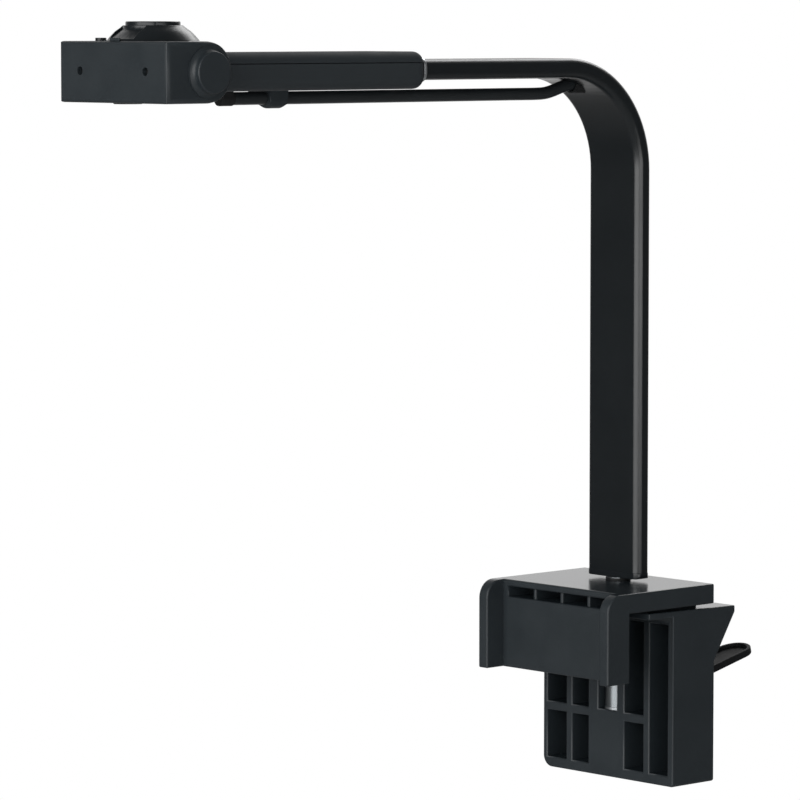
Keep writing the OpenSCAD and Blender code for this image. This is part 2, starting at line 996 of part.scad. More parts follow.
module microphones() {
    color("#8f8a70")
        at_head()
            both_sides()
                rod_y(2.4, mic_x, in_y + eps, in_y + 2.2, mic_z);
}

module power_switch() {
    color("#303234")
        at_head() {
            block(power_x - 2, power_x + 2, power_y - 2, power_y + 2,
                board_z + board_t + eps, board_z + board_t + 1.2);
            rod_z(1.1, power_x, power_y, board_z + board_t + 1, board_z + board_t + 1.7);
        }
}

module power_button() {
    color("#3a3e41")
        at_head() {
            rod_z(2.1, power_x, power_y, 8.3, head_hh + 1.2);
            rod_z(2.5, power_x, power_y, 8.3, 9);
        }
}

module dial_section() {
    polygon([[10.7, dial_foot], [dial_r, dial_foot], [dial_r - 1.8, 1.95], [dial_r - 3.3, 3.45], [dial_r - 5.4, 4.9],
        [11.25, 5.7], [10.7, 5.7], [10.7, 2.8], [12.5, 2.8], [12.5, 1.2], [10.7, 1.2]]);
}

// Skin taken off the front of the dial as a finger notch
module notch_section() {
    polygon([[dial_r + 1, 0.8], [dial_r - 1.2, 0.8], [dial_r - 4.3, 3], [dial_r - 6.1, 4.2], [dial_r - 6.1, 7],
        [dial_r + 1, 7]]);
}

module dial_seat() {
    color("#222527")
        at_head()
            translate([0, 0, dial_z])
                difference() {
                    union() {
                        rod_z(10.4, 0, 0, -0.13, 3.4);
                        rod_z(12.1, 0, 0, 1.5, 2.5);
                    }
                    rod_z(8.8, 0, 0, 1, 4);
                }
}

module dial_switch() {
    color("#303234")
        at_head()
            translate([0, 0, dial_z]) {
                block(-3, 3, -3, 3, 1 + eps, 1.6);
                rod_z(1.6, 0, 0, 1.5, 1.9);
            }
}

module dial_ring() {
    color("#25282a")
        at_head()
            translate([0, 0, dial_z])
                difference() {
                    rotate_extrude()
                        dial_section();
                    intersection() {
                        rotate_extrude()
                            notch_section();
                        block(-notch_x, notch_x, -dial_r - 2, 0, dial_foot, 8);
                    }
                }
}

module dial_button() {
    color("#2b2f32")
        at_head()
            translate([0, 0, dial_z]) {
                rotate_extrude()
                    difference() {
                        translate([0, 4.4])
                            square([10.3, 2.8]);
                        translate([10.3, 7.2])
                            rotate(180)
                                corner_waste(0.5);
                    }
                rod_z(3, 0, 0, 2.8, 4.6);
            }
}

rear_body();
upper_bushing();
lower_bushing();
draw_yoke();
lever_pins();
hook();
lip_pad();
cam_lever();
spindle();
spindle_nut();
thrust_washer();
foot_plug();
foot_screws();
arm_bar();
bend_grommet();
outlet_grommet();
lead();
lead_gland();
lead_clip();
clip_screw();
sleeve_lower();
sleeve_upper();
sleeve_screws();
sleeve_collar();
head_shell();
head_cover();
head_screws();
hinge_axle();
hinge_caps();
friction_washers();
lens_bezel();
lens_barrel();
lens_glass();
sensor_board();
main_board();
microphones();
power_switch();
power_button();
dial_seat();
dial_switch();
dial_ring();
dial_button();
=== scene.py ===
"""Looks of a clamp-on document camera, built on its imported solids.

Lengths are in metres, or in millimetres where a name ends in _MM or _mm.
"""

import json
import math

import bmesh
import bpy
from mathutils.bvhtree import BVHTree
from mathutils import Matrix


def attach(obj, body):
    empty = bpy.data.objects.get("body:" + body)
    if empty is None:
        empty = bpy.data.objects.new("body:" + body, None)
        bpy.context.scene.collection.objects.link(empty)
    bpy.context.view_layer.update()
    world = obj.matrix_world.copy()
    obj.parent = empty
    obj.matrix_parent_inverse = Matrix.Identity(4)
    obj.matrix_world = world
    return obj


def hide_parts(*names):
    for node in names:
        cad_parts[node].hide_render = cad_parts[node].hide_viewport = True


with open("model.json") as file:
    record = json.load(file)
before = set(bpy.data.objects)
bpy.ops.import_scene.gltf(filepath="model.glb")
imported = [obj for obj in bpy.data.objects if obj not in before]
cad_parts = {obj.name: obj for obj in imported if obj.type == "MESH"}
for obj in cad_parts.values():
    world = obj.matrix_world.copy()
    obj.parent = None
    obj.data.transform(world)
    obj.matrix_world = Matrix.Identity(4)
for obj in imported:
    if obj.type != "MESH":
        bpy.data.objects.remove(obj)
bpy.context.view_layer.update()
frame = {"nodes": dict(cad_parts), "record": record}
nodes = frame["nodes"]
MM = 0.001
scene = bpy.context.scene
scene.view_settings.view_transform = "Standard"

# Camera: a long lens in front of the object, to its right and a little above its clamp
CAMERA_PLACE_MM = (1283.2, -1294.1, 243.3)
CAMERA_TURN_DEG = 47.3
CAMERA_DROP_DEG = 4.9
FOCAL_PX = 4440.0
IMAGE_PX = 800.0
SENSOR_MM = 36.0
CLIP_NEAR = 0.05
CLIP_FAR = 400.0


def place_camera():
    lens = bpy.data.cameras.new("photo_camera")
    lens.sensor_width = SENSOR_MM
    lens.sensor_fit = "HORIZONTAL"
    lens.lens = FOCAL_PX / IMAGE_PX * SENSOR_MM
    lens.clip_start = CLIP_NEAR
    lens.clip_end = CLIP_FAR
    camera = bpy.data.objects.new("photo_camera", lens)
    camera.location = [value * MM for value in CAMERA_PLACE_MM]
    camera.rotation_euler = (
        math.radians(90.0 - CAMERA_DROP_DEG),
        0.0,
        math.radians(CAMERA_TURN_DEG),
    )
    scene.collection.objects.link(camera)
    scene.camera = camera


place_camera()


def linear(hex_colour):
    """Linear colour of an sRGB hex value such as #1c2023."""
    channels = [int(hex_colour[i:i + 2], 16) / 255.0 for i in (1, 3, 5)]
    return [c / 12.92 if c <= 0.04045 else ((c + 0.055) / 1.055) ** 2.4 for c in channels] + [1.0]


def add_node(tree, kind, settings=None, inputs=None, links=None):
    """One shader node: its own settings, its sockets' values, and links given as socket: (node, output)."""
    made = tree.nodes.new(kind)
    for name, value in (settings or {}).items():
        setattr(made, name, value)
    for socket, value in (inputs or {}).items():
        made.inputs[socket].default_value = value
    for socket, (source, output) in (links or {}).items():
        tree.links.new(source.outputs[output], made.inputs[socket])
    return made


def new_material(name):
    material = bpy.data.materials.new(name)
    material.use_nodes = True
    tree = material.node_tree
    return material, tree, tree.nodes["Principled BSDF"]


def per_metre(size_mm):
    """Noise scale for features of a size in millimetres."""
    return 1.0 / (size_mm * MM)


# Real moulded grain and turning marks are a tenth of a millimetre or finer. That is too fine to show in the
# render, so they are drawn 0.3 to 0.9 mm wide
GRAIN_BUMP = 0.35
MARK_BUMP = 0.2
MARK_DEPTH_MM = 0.01
MARK_STRETCH = 0.06
NOISE_LOW = 0.3
NOISE_HIGH = 0.7
CLOUD_MM = 14.0


def grained_surface(tree, shader, grain_mm, depth_mm, rough, colours, cloud_mm=CLOUD_MM):
    """Fine grain as bump, with slow changes of gloss and shade over the surface."""
    place = add_node(tree, "ShaderNodeTexCoord")
    grain = add_node(tree, "ShaderNodeTexNoise", None,
                     {"Scale": per_metre(grain_mm), "Detail": 2.0, "Roughness": 0.5},
                     {"Vector": (place, "Object")})
    bump = add_node(tree, "ShaderNodeBump", None, {"Strength": GRAIN_BUMP, "Distance": depth_mm * MM},
                    {"Height": (grain, "Fac")})
    cloud = add_node(tree, "ShaderNodeTexNoise", None,
                     {"Scale": per_metre(cloud_mm), "Detail": 4.0, "Roughness": 0.55},
                     {"Vector": (place, "Object")})
    gloss = add_node(tree, "ShaderNodeMapRange", None,
                     {"From Min": NOISE_LOW, "From Max": NOISE_HIGH,
                      "To Min": rough[0], "To Max": rough[1]},
                     {"Value": (cloud, "Fac")})
    shade = add_node(tree, "ShaderNodeMix", {"data_type": "RGBA"},
                     {"A": linear(colours[0]), "B": linear(colours[1])}, {"Factor": (cloud, "Fac")})
    tree.links.new(bump.outputs["Normal"], shader.inputs["Normal"])
    tree.links.new(gloss.outputs["Result"], shader.inputs["Roughness"])
    tree.links.new(shade.outputs["Result"], shader.inputs["Base Color"])
    return gloss


def moulded_abs():
    """Black ABS from a spark-eroded mould: soft satin sheen, faint grain, no sharp reflections."""
    material, tree, shader = new_material("moulded_abs")
    grained_surface(tree, shader, grain_mm=0.45, depth_mm=0.02, rough=(0.44, 0.54),
                    colours=("#1c2226", "#20272b"))
    return material


def eroded_abs():
    """The sleeve's black ABS from a coarser spark-eroded mould: a dull skin, dark along its edges."""
    material, tree, shader = new_material("eroded_abs")
    grained_surface(tree, shader, grain_mm=0.45, depth_mm=0.05, rough=(0.64, 0.74),
                    colours=("#1d2327", "#21282c"))
    return material


# Roughness of a polished mould half, and how far up a face points to come from it
POLISHED_ROUGH = 0.2
UPWARD = (0.9, 0.99)


def polished_abs():
    """The clamp's black ABS: upward faces from a polished mould half mirror the room, sides are satin."""
    material, tree, shader = new_material("polished_abs")
    gloss = grained_surface(tree, shader, grain_mm=0.45, depth_mm=0.02, rough=(0.44, 0.54),
                            colours=("#1c2226", "#20272b"))
    facing = add_node(tree, "ShaderNodeNewGeometry")
    split = add_node(tree, "ShaderNodeSeparateXYZ", None, None, {"Vector": (facing, "True Normal")})
    upward = add_node(tree, "ShaderNodeMapRange", None,
                      {"From Min": UPWARD[0], "From Max": UPWARD[1], "To Min": 0.0, "To Max": 1.0},
                      {"Value": (split, "Z")})
    rough = add_node(tree, "ShaderNodeMix", {"data_type": "FLOAT"}, {"B": POLISHED_ROUGH},
                     {"Factor": (upward, "Result"), "A": (gloss, "Result")})
    tree.links.new(rough.outputs["Result"], shader.inputs["Roughness"])
    return material


def glossy_abs():
    """Black ABS of keys, dial and foot plug: smoother than the housings, with clearer highlights."""
    material, tree, shader = new_material("glossy_abs")
    grained_surface(tree, shader, grain_mm=0.6, depth_mm=0.01, rough=(0.28, 0.36),
                    colours=("#111518", "#14191c"))
    return material


def powder_coat():
    """Satin black powder coat on the arm tube: a slight orange peel that breaks up the long streaks."""
    material, tree, shader = new_material("powder_coat")
    grained_surface(tree, shader, grain_mm=1.2, depth_mm=0.012, rough=(0.28, 0.33),
                    colours=("#0a0f12", "#0d1316"), cloud_mm=30.0)
    shader.inputs["Specular IOR Level"].default_value = 0.65
    return material


def moulded_nylon():
    """Glass-filled nylon of the lever: the fibres near its skin leave it dull and very dark."""
    material, tree, shader = new_material("moulded_nylon")
    grained_surface(tree, shader, grain_mm=0.5, depth_mm=0.03, rough=(0.58, 0.70),
                    colours=("#0c0f11", "#121517"), cloud_mm=6.0)
    shader.inputs["Specular IOR Level"].default_value = 0.3
    return material


def turned_metal(name, colours, rough, groove_mm):
    """Machined metal: fine turning marks round the axis carry the highlight along the piece."""
    material, tree, shader = new_material(name)
    place = add_node(tree, "ShaderNodeTexCoord")
    stretch = add_node(tree, "ShaderNodeMapping", None, {"Scale": (MARK_STRETCH, MARK_STRETCH, 1.0)},
                       {"Vector": (place, "Object")})
    marks = add_node(tree, "ShaderNodeTexNoise", None,
                     {"Scale": per_metre(groove_mm), "Detail": 2.0}, {"Vector": (stretch, "Vector")})
    gloss = add_node(tree, "ShaderNodeMapRange", None,
                     {"From Min": NOISE_LOW, "From Max": NOISE_HIGH,
                      "To Min": rough[0], "To Max": rough[1]},
                     {"Value": (marks, "Fac")})
    shade = add_node(tree, "ShaderNodeMix", {"data_type": "RGBA"},
                     {"A": linear(colours[0]), "B": linear(colours[1])}, {"Factor": (marks, "Fac")})
    bump = add_node(tree, "ShaderNodeBump", None, {"Strength": MARK_BUMP, "Distance": MARK_DEPTH_MM * MM},
                    {"Height": (marks, "Fac")})
    tree.links.new(gloss.outputs["Result"], shader.inputs["Roughness"])
    tree.links.new(shade.outputs["Result"], shader.inputs["Base Color"])
    tree.links.new(bump.outputs["Normal"], shader.inputs["Normal"])
    shader.inputs["Metallic"].default_value = 1.0
    return material


def black_oxide():
    """Black-oxide steel screws: dark, slightly oily metal."""
    material, tree, shader = new_material("black_oxide")
    grained_surface(tree, shader, grain_mm=0.3, depth_mm=0.01, rough=(0.34, 0.48),
                    colours=("#26292b", "#303437"), cloud_mm=3.0)
    shader.inputs["Metallic"].default_value = 0.85
    return material


def moulded_rubber():
    """Black rubber of pads and grommets: dull, with a dusty bloom."""
    material, tree, shader = new_material("moulded_rubber")
    grained_surface(tree, shader, grain_mm=0.35, depth_mm=0.03, rough=(0.72, 0.86),
                    colours=("#141516", "#1c1d1e"), cloud_mm=5.0)
    shader.inputs["Specular IOR Level"].default_value = 0.3
    return material


def extruded_pvc():
    """Extruded PVC jacket of the lead: an even satin skin with soft lengthwise sheen."""
    material, tree, shader = new_material("extruded_pvc")
    grained_surface(tree, shader, grain_mm=0.7, depth_mm=0.015, rough=(0.36, 0.44),
                    colours=("#1a1d1f", "#202426"), cloud_mm=9.0)
    shader.inputs["Specular IOR Level"].default_value = 0.4
    return material


def solder_mask():
    """Green circuit board: glossy lacquer with darker copper areas showing through."""
    material, tree, shader = new_material("solder_mask")
    place = add_node(tree, "ShaderNodeTexCoord")
    tracks = add_node(tree, "ShaderNodeTexBrick", None,
                      {"Color1": linear("#1c6b43"), "Color2": linear("#185c3a"),
                       "Mortar": linear("#124a2e"), "Scale": per_metre(6.0), "Mortar Size": 0.06},
                      {"Vector": (place, "Object")})
    tree.links.new(tracks.outputs["Color"], shader.inputs["Base Color"])
    shader.inputs["Roughness"].default_value = 0.3
    return material


def black_acetal():
    """Matt black acetal of lens parts, washers and seats: very dark with little sheen."""
    material, tree, shader = new_material("black_acetal")
    grained_surface(tree, shader, grain_mm=0.3, depth_mm=0.01, rough=(0.50, 0.62),
                    colours=("#0e0f10", "#131415"), cloud_mm=4.0)
    shader.inputs["Specular IOR Level"].default_value = 0.35
    return material


def coated_glass():
    """Front lens glass with an anti-reflection coating: dark, with a painted blue sheen in its colour that
    turns violet at the rim.
    """
    material, tree, shader = new_material("coated_glass")
    # Painted sheen: the base colour goes from dark blue face-on to violet where the surface turns away from
    # view
    edge = add_node(tree, "ShaderNodeLayerWeight", None, {"Blend": 0.4})
    painted_sheen_tint = add_node(tree, "ShaderNodeMix", {"data_type": "RGBA"},
                    {"A": linear("#131c33"), "B": linear("#4a3a6e")}, {"Factor": (edge, "Facing")})
    tree.links.new(painted_sheen_tint.outputs["Result"], shader.inputs["Base Color"])
    shader.inputs["Roughness"].default_value = 0.05
    shader.inputs["IOR"].default_value = 1.52
    shader.inputs["Coat Weight"].default_value = 1.0
    shader.inputs["Coat Roughness"].default_value = 0.02
    return material


# The four turned metals tell pieces apart: grey spindle and pins, paler plated parts, yellow bushing, and
# the bright collar. Each has two colours, a range of roughness and the width of its marks in millimetres
FINISHES = {
    "moulded_abs": moulded_abs(),
    "eroded_abs": eroded_abs(),
    "polished_abs": polished_abs(),
    "glossy_abs": glossy_abs(),
    "powder_coat": powder_coat(),
    "moulded_nylon": moulded_nylon(),
    "turned_steel": turned_metal("turned_steel", ("#8c9194", "#9da2a5"), (0.26, 0.38), 0.5),
    "zinc_plate": turned_metal("zinc_plate", ("#9da1a4", "#b2b6b9"), (0.34, 0.46), 0.9),
    "turned_brass": turned_metal("turned_brass", ("#a88f52", "#bda463"), (0.25, 0.36), 0.5),
    "satin_aluminium": turned_metal("satin_aluminium", ("#d3d7da", "#e2e5e7"), (0.28, 0.36), 0.6),
    "black_oxide": black_oxide(),
    "moulded_rubber": moulded_rubber(),
    "extruded_pvc": extruded_pvc(),
    "solder_mask": solder_mask(),
    "black_acetal": black_acetal(),
    "coated_glass": coated_glass(),
}

FINISH_OF_NODE = {
    "rear_body": "polished_abs", "hook": "polished_abs", "foot_plug": "glossy_abs",
    "lead_clip": "moulded_abs",
    "sleeve_lower": "eroded_abs", "sleeve_upper": "eroded_abs", "head_shell": "moulded_abs",
    "head_cover": "moulded_abs", "hinge_caps": "moulded_abs", "cam_lever": "moulded_nylon",
    "dial_ring": "glossy_abs", "dial_button": "glossy_abs", "power_button": "glossy_abs",
    "arm_bar": "powder_coat", "spindle": "turned_steel", "lever_pins": "turned_steel",
    "hinge_axle": "turned_steel", "draw_yoke": "zinc_plate", "spindle_nut": "zinc_plate",
    "friction_washers": "zinc_plate", "lower_bushing": "zinc_plate", "microphones": "black_acetal",
    "upper_bushing": "turned_brass", "sleeve_collar": "satin_aluminium", "foot_screws": "black_oxide",
    "clip_screw": "black_oxide", "sleeve_screws": "black_oxide", "head_screws": "black_oxide",
    "lip_pad": "moulded_rubber", "bend_grommet": "moulded_rubber", "outlet_grommet": "moulded_rubber",
    "lead_gland": "moulded_rubber", "lead": "extruded_pvc", "sensor_board": "solder_mask",
    "main_board": "solder_mask", "thrust_washer": "black_acetal", "lens_bezel": "black_acetal",
    "lens_barrel": "black_acetal", "power_switch": "black_acetal", "dial_seat": "black_acetal",
    "dial_switch": "black_acetal", "lens_glass": "coated_glass",
}


def finish_nodes():
    for name, finish in FINISH_OF_NODE.items():
        mesh = nodes[name].data
        mesh.materials.clear()
        mesh.materials.append(FINISHES[finish])


finish_nodes()

# Edge rounds: a moulding has no knife edges, and its rounds carry the thin light lines.
# With 0.0 a piece gets no edge rounds, only joined points and even shading
EDGE_ROUND_MM = {
    "rear_body": 0.6, "hook": 0.7, "head_shell": 0.4, "sleeve_lower": 0.12, "sleeve_upper": 0.12,
    "cam_lever": 0.5, "lead_clip": 0.35, "foot_plug": 0.3, "hinge_caps": 0.35, "dial_ring": 0.25,
    "dial_button": 0.3, "power_button": 0.15, "head_cover": 0.25, "lens_bezel": 0.2, "sleeve_collar": 0.1,
    "lip_pad": 0.4, "outlet_grommet": 0.3, "lead_gland": 0.25, "draw_yoke": 0.25,
    "arm_bar": 0.0, "spindle": 0.0,
}
# Which edges are sharp, smooth or flat, and how the rounds are kept from running into each other
SHARP_DEG = 32.0
SMOOTH_DEG = 40.0
FLAT_DEG = 0.6
WELD_MM = 0.002
ROUND_STEPS = 3
ROUND_TRIES = 8
SHORT_EDGE_MM = 2.5
LARGE_PIECE_MM = 30.0
SMALL_HOLE_MM = 4.0
CLASH_REACH = 2.0
SMALLER_ROUND = 0.7
CUT_GRIP = 1e-6


def welded_form(name):
    """The node's solid with joined points and whole flat faces."""
    form = bmesh.new()
    form.from_mesh(nodes[name].data)
    bmesh.ops.remove_doubles(form, verts=form.verts, dist=WELD_MM * MM)
    bmesh.ops.dissolve_limit(form, angle_limit=math.radians(FLAT_DEG), verts=form.verts, edges=form.edges)
    form.edges.index_update()
    return form


def spread(points):
    """Longest side of the points' box."""
    return max(max(p[k] for p in points) - min(p[k] for p in points) for k in range(3))


def outer_edges(form):
    """The sharp outward edges, without the rims of small holes in a large piece."""
    limit = math.radians(SHARP_DEG)
    left = {e for e in form.edges
            if len(e.link_faces) == 2 and e.is_convex and e.calc_face_angle(0.0) > limit}
    if spread([v.co for v in form.verts]) < LARGE_PIECE_MM * MM:
        return sorted(left, key=lambda e: e.index)
    kept = []
    while left:
        chain = [left.pop()]
        for edge in chain:
            joined = {e for v in edge.verts for e in v.link_edges} & left
            left -= joined
            chain.extend(joined)
        if spread([v.co for e in chain for v in e.verts]) > SMALL_HOLE_MM * MM:
            kept.extend(chain)
    return sorted(kept, key=lambda e: e.index)


def crossings(form):
    """Places where faces that share no point cut each other."""
    bmesh.ops.triangulate(form, faces=form.faces)
    form.faces.ensure_lookup_table()
    tree = BVHTree.FromBMesh(form)
    corners = [{v.index for v in face.verts} for face in form.faces]
    return [form.faces[a].calc_center_median() for a, b in tree.overlap(tree)
            if a < b and not corners[a] & corners[b]]


def rounded_form(name, radius):
    """The solid with its outer edges rounded.

    Edges whose rounds would run into each other stay as they are.
    If that isn't enough, all rounds are made smaller.
    """
    left_sharp = set()
    for attempt in range(ROUND_TRIES):
        form = welded_form(name)
        edges = [e for e in outer_edges(form) if e.index not in left_sharp]
        middles = [(e.index, (e.verts[0].co + e.verts[1].co) / 2.0, e.calc_length()) for e in edges]
        bmesh.ops.bevel(form, geom=edges, offset=radius, offset_type="OFFSET", segments=ROUND_STEPS,
                        profile=0.5, affect="EDGES", clamp_overlap=False)
        test = form.copy()
        clashes = crossings(test)
        test.free()
        if not clashes:
            return form
        form.free()
        longest = SHORT_EDGE_MM * MM if attempt < ROUND_TRIES / 2 else math.inf
        for place in clashes:
            left_sharp.update(
                i for i, middle, length in middles
                if length < longest and (middle - place).length < length / 2.0 + CLASH_REACH * radius)
    return rounded_form(name, SMALLER_ROUND * radius)


# Sleeve: half width and half height of its outside, middle height, rear end, and the ball round there
SLEEVE_HALF_MM = (18.0, 7.3)
SLEEVE_MIDDLE_MM = 223.6
SLEEVE_END_MM = -111.6
BALL_MM = 4.6
BALL_STEPS = 7


def ball_corners(form):
    """The sleeve's rear corners drawn in to one ball round; cuts across them give it points of its own."""
    core = (SLEEVE_HALF_MM[0] - BALL_MM, SLEEVE_END_MM - BALL_MM, SLEEVE_HALF_MM[1] - BALL_MM)
    middle = SLEEVE_MIDDLE_MM
    for step in range(BALL_STEPS):
        reach = BALL_MM * math.sin(0.5 * math.pi * step / BALL_STEPS)
        for axis, place in ((1, core[1] + reach), (0, core[0] + reach), (0, -core[0] - reach),
                            (2, middle + core[2] + reach), (2, middle - core[2] - reach)):
            near = [f for f in form.faces if max(v.co.y for v in f.verts) > (core[1] - BALL_MM) * MM]
            parts = set(near) | {e for f in near for e in f.edges} | {v for f in near for v in f.verts}
            point = [place * MM if k == axis else 0.0 for k in range(3)]
            normal = [1.0 if k == axis else 0.0 for k in range(3)]
            bmesh.ops.bisect_plane(form, geom=list(parts), dist=CUT_GRIP, plane_co=point, plane_no=normal)
    for vert in form.verts:
        x, y, z = (value / MM for value in vert.co)
        inner = (max(-core[0], min(core[0], x)), min(core[1], y),
                 max(middle - core[2], min(middle + core[2], z)))
        out = [a - b for a, b in zip((x, y, z), inner)]
        length = math.hypot(*out)
        if y > core[1] and length > BALL_MM:
            vert.co = [(b + o * BALL_MM / length) * MM for b, o in zip(inner, out)]


# Arm tube: half width and half thickness of its outside, its corner round, its post's middle and its bend
TUBE_HALF_MM = (15.0, 4.0)
TUBE_CORNER_MM = 3.4
TUBE_STEPS = 8
POST_MIDDLE_MM = 13.2
BEND_CENTRE_MM = (-28.8, 181.7)
BEND_RADIUS_MM = 42.0


def tube_corners(form):
    """The tube's outer corners drawn in to one wide, even round along post, bend and arm."""
    core = [half - TUBE_CORNER_MM for half in TUBE_HALF_MM]
    for step in range(TUBE_STEPS):
        reach = core[0] + TUBE_CORNER_MM * math.sin(0.5 * math.pi * step / TUBE_STEPS)
        for place in (reach, -reach):
            bmesh.ops.bisect_plane(form, geom=form.verts[:] + form.edges[:] + form.faces[:], dist=CUT_GRIP,
                                   plane_co=(place * MM, 0.0, 0.0), plane_no=(1.0, 0.0, 0.0))
    for vert in form.verts:
        x, y, z = (value / MM for value in vert.co)
        foot, way = (POST_MIDDLE_MM, z), (1.0, 0.0)
        if z > BEND_CENTRE_MM[1]:
            centre = (min(y, BEND_CENTRE_MM[0]), BEND_CENTRE_MM[1])
            reach = math.hypot(y - centre[0], z - centre[1])
            way = ((y - centre[0]) / reach, (z - centre[1]) / reach)
            foot = (centre[0] + BEND_RADIUS_MM * way[0], centre[1] + BEND_RADIUS_MM * way[1])
        depth = (y - foot[0]) * way[0] + (z - foot[1]) * way[1]
        inner = (max(-core[0], min(core[0], x)), max(-core[1], min(core[1], depth)))
        out = (x - inner[0], depth - inner[1])
        length = math.hypot(*out)
        if length > TUBE_CORNER_MM:
            x = inner[0] + out[0] * TUBE_CORNER_MM / length
            depth = inner[1] + out[1] * TUBE_CORNER_MM / length
            vert.co = (x * MM, (foot[0] + depth * way[0]) * MM, (foot[1] + depth * way[1]) * MM)


RESHAPED = {"sleeve_lower": ball_corners, "sleeve_upper": ball_corners, "arm_bar": tube_corners}


def rounded_copy(name, radius_mm):
    """The node's own solid with rounded edges and even shading; it stands for the node."""
    form = rounded_form(name, radius_mm * MM) if radius_mm > 0.0 else welded_form(name)
    if name in RESHAPED:
        RESHAPED[name](form)
    for face in form.faces:
        face.smooth = True
    mesh = bpy.data.meshes.new(name + "_rounded")
    form.to_mesh(mesh)
    form.free()
    mesh.set_sharp_from_angle(angle=math.radians(SMOOTH_DEG))
    mesh.materials.append(FINISHES[FINISH_OF_NODE[name]])
    piece = bpy.data.objects.new(name + "_rounded", mesh)
    scene.collection.objects.link(piece)
    weighted = piece.modifiers.new("even_shading", "WEIGHTED_NORMAL")
    weighted.keep_sharp = True
    return piece


body_of_node = {n: body for body, names in frame["record"]["behaviour"]["bodies"].items() for n in names}


def stand_for(piece, name):
    """The piece takes the node's place and joins its body; the node is hidden."""
    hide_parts(name)
    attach(piece, body_of_node[name])


def round_edges():
    for name, radius_mm in EDGE_ROUND_MM.items():
        stand_for(rounded_copy(name, radius_mm), name)


round_edges()

# Lead: its route as depth and height, level under the arm, rising into the bend, round it and down the post
LEAD_RADIUS_MM = 2.5
LEAD_SIDES = 28
LEAD_STEPS = 4
LEAD_SPAN_MM = (-201.0, -36.0)
LEAD_LEVEL_MM = 213.35
LEAD_RISE_MM = ((-30.5, 213.6), (-26.0, 214.5), (-21.5, 215.8), (-17.0, 216.8), (-12.5, 217.3),
                (-8.5, 217.0), (-5.0, 216.0), (-2.2, 214.2))
LEAD_LEVEL_PARTS = 15
LEAD_BEND_PARTS = 7
LEAD_POST_PARTS = 12
LEAD_BEND_DEG = 46.0
LEAD_LOW_MM = 58.0


def lead_route():
    """Points of the lead's middle line as pairs of depth and height."""
    start, end = LEAD_SPAN_MM
    route = []
    for i in range(LEAD_LEVEL_PARTS + 1):
        route.append((start + (end - start) * i / LEAD_LEVEL_PARTS, LEAD_LEVEL_MM))
    route += list(LEAD_RISE_MM)
    for i in range(LEAD_BEND_PARTS, -1, -1):
        turn = math.radians(LEAD_BEND_DEG * i / LEAD_BEND_PARTS)
        route.append((BEND_CENTRE_MM[0] + BEND_RADIUS_MM * math.cos(turn),
                      BEND_CENTRE_MM[1] + BEND_RADIUS_MM * math.sin(turn)))
    low, top = LEAD_LOW_MM, BEND_CENTRE_MM[1]
    for i in range(1, LEAD_POST_PARTS + 1):
        route.append((BEND_CENTRE_MM[0] + BEND_RADIUS_MM, top + (low - top) * i / LEAD_POST_PARTS))
    return route


def smooth_route(route):
    """A curve through the route's points, LEAD_STEPS to each stretch."""
    line = []
    last = len(route) - 1
    for i in range(last):
        a, b, c, d = (route[max(i - 1, 0)], route[i], route[i + 1], route[min(i + 2, last)])
        for step in range(LEAD_STEPS):
            t = step / LEAD_STEPS
            line.append(tuple(
                0.5 * (2 * b[k] + (c[k] - a[k]) * t + (2 * a[k] - 5 * b[k] + 4 * c[k] - d[k]) * t ** 2
                       + (3 * b[k] - a[k] - 3 * c[k] + d[k]) * t ** 3) for k in (0, 1)))
    return line + [route[last]]


def build_lead():
    """The jacket as one smooth round tube along its route."""
    line = smooth_route(lead_route())
    points, faces = [], []
    for i, (y, z) in enumerate(line):
        ahead, behind = line[min(i + 1, len(line) - 1)], line[max(i - 1, 0)]
        way = (ahead[0] - behind[0], ahead[1] - behind[1])
        size = math.hypot(*way)
        up = (-way[1] / size, way[0] / size)
        for k in range(LEAD_SIDES):
            turn = 2.0 * math.pi * k / LEAD_SIDES
            out = LEAD_RADIUS_MM * math.sin(turn)
            aside = LEAD_RADIUS_MM * math.cos(turn)
            points.append((aside * MM, (y + out * up[0]) * MM, (z + out * up[1]) * MM))
    for i in range(len(line) - 1):
        for k in range(LEAD_SIDES):
            a, b = i * LEAD_SIDES + k, i * LEAD_SIDES + (k + 1) % LEAD_SIDES
            faces.append((a, b, b + LEAD_SIDES, a + LEAD_SIDES))
    faces.append(tuple(range(LEAD_SIDES - 1, -1, -1)))
    faces.append(tuple((len(line) - 1) * LEAD_SIDES + k for k in range(LEAD_SIDES)))
    mesh = bpy.data.meshes.new("lead_jacket")
    mesh.from_pydata(points, [], faces)
    form = bmesh.new()
    form.from_mesh(mesh)
    bmesh.ops.recalc_face_normals(form, faces=form.faces)
    form.to_mesh(mesh)
    form.free()
    mesh.polygons.foreach_set("use_smooth", [True] * len(mesh.polygons))
    mesh.set_sharp_from_angle(angle=math.radians(SMOOTH_DEG))
    mesh.materials.append(FINISHES["extruded_pvc"])
    jacket = bpy.data.objects.new("lead_jacket", mesh)
    scene.collection.objects.link(jacket)
    stand_for(jacket, "lead")


build_lead()

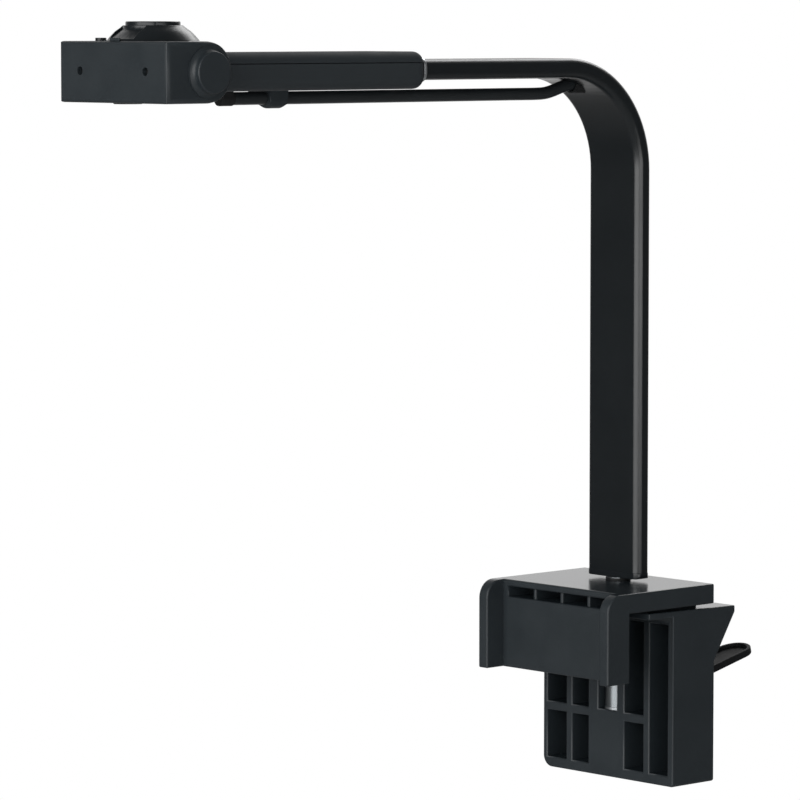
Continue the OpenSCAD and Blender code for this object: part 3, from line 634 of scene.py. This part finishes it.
# Studio: a white backdrop behind the object as the photo camera sees it, and a dim room on the other sides.
# Edges are cosines from the way behind: reflections are dim below the first and white above the second
FLOOR_DROP_MM = 420.0
FLOOR_HALF = 90.0
SOFT_LIGHT = 0.22
ROOM_GLOSS = 0.10
BACKDROP_EDGE = (0.55, 0.9)
FLOOR_EDGE = (0.8, 0.97)
SHADOW_NEAR = 0.5
SHADOW_FAR = 1.4
SHADOW_GLOW = 0.6
FLOOR_COLOUR = "#e9e9e9"
FLOOR_ROUGH = 0.9
WHITE = (1.0, 1.0, 1.0, 1.0)
BEHIND = (-math.sin(math.radians(CAMERA_TURN_DEG)), math.cos(math.radians(CAMERA_TURN_DEG)), 0.0)
LAMPS = (
    # name, place, aim, width, height, watts
    ("front_softbox", (0.5, -2.15, 0.6), (0.0, -0.1, 0.1), 2.8, 2.0, 56.0),
    ("right_strip", (2.0, -0.7, 0.0), (0.0, -0.1, 0.1), 1.8, 0.4, 9.5),
    ("rear_softbox", (-0.7, 1.6, 1.5), (0.0, -0.1, 0.1), 1.0, 1.0, 10.0),
)


def seen_white(tree, heading, edge):
    """Whether a ray sees the surroundings, and how bright they are.

    They are white directly and through glass.
    In reflections they are white behind the object and dim to its sides.
    """
    path = add_node(tree, "ShaderNodeLightPath")
    direct = add_node(tree, "ShaderNodeMath", {"operation": "MAXIMUM"}, None,
                      {0: (path, "Is Camera Ray"), 1: (path, "Is Transmission Ray")})
    seen = add_node(tree, "ShaderNodeMath", {"operation": "MAXIMUM"}, None,
                    {0: (direct, "Value"), 1: (path, "Is Glossy Ray")})
    backdrop = add_node(tree, "ShaderNodeVectorMath", {"operation": "DOT_PRODUCT"},
                        {1: BEHIND}, {0: heading})
    mirrored = add_node(tree, "ShaderNodeMapRange", None,
                        {"From Min": edge[0], "From Max": edge[1], "To Min": ROOM_GLOSS, "To Max": 1.0},
                        {"Value": (backdrop, "Value")})
    strength = add_node(tree, "ShaderNodeMath", {"operation": "MAXIMUM"}, None,
                        {0: (direct, "Value"), 1: (mirrored, "Result")})
    return seen, strength


def build_world():
    world = bpy.data.worlds.new("white_studio")
    scene.world = world
    world.use_nodes = True
    tree = world.node_tree
    sky = tree.nodes["Background"]
    sky.inputs["Color"].default_value = WHITE
    way = add_node(tree, "ShaderNodeTexCoord")
    seen, strength = seen_white(tree, (way, "Generated"), BACKDROP_EDGE)
    level = add_node(tree, "ShaderNodeMix", {"data_type": "FLOAT"}, {"A": SOFT_LIGHT},
                     {"Factor": (seen, "Value"), "B": (strength, "Value")})
    tree.links.new(level.outputs["Result"], sky.inputs["Strength"])


def build_floor():
    """Matt white paint: it takes a soft shadow under the object and fades to plain white further out."""
    mesh = bpy.data.meshes.new("studio_floor")
    half, level = FLOOR_HALF, -FLOOR_DROP_MM * MM
    corners = [(-half, -half, level), (half, -half, level), (half, half, level), (-half, half, level)]
    mesh.from_pydata(corners, [], [(0, 1, 2, 3)])
    floor = bpy.data.objects.new("studio_floor", mesh)
    scene.collection.objects.link(floor)
    material, tree, shader = new_material("painted_floor")
    shader.inputs["Base Color"].default_value = linear(FLOOR_COLOUR)
    shader.inputs["Roughness"].default_value = FLOOR_ROUGH
    place = add_node(tree, "ShaderNodeNewGeometry")
    heading = add_node(tree, "ShaderNodeVectorMath", {"operation": "NORMALIZE"}, None,
                       {0: (place, "Position")})
    seen, strength = seen_white(tree, (heading, "Vector"), FLOOR_EDGE)
    reach = add_node(tree, "ShaderNodeVectorMath", {"operation": "LENGTH"}, None, {0: (place, "Position")})
    open_floor = add_node(tree, "ShaderNodeMapRange", None,
                          {"From Min": SHADOW_NEAR, "From Max": SHADOW_FAR,
                           "To Min": SHADOW_GLOW, "To Max": 1.0},
                          {"Value": (reach, "Value")})
    share = add_node(tree, "ShaderNodeMath", {"operation": "MULTIPLY"}, None,
                     {0: (seen, "Value"), 1: (open_floor, "Result")})
    glow = add_node(tree, "ShaderNodeEmission", None, {"Color": WHITE},
                    {"Strength": (strength, "Value")})
    mix = add_node(tree, "ShaderNodeMixShader", None, None,
                   {0: (share, "Value"), 1: (shader, "BSDF"), 2: (glow, "Emission")})
    tree.links.new(mix.outputs["Shader"], tree.nodes["Material Output"].inputs["Surface"])
    mesh.materials.append(material)


def hang_lamps():
    for name, place, aim, width, height, watts in LAMPS:
        lamp = bpy.data.lights.new(name, "AREA")
        lamp.shape = "RECTANGLE"
        lamp.size = width
        lamp.size_y = height
        lamp.energy = watts
        holder = bpy.data.objects.new(name, lamp)
        holder.location = place
        way = [a - p for a, p in zip(aim, place)]
        flat = math.hypot(way[0], way[1])
        holder.rotation_euler = (math.atan2(flat, -way[2]), 0.0, math.atan2(-way[0], way[1]))
        scene.collection.objects.link(holder)


build_world()
build_floor()
hang_lamps()
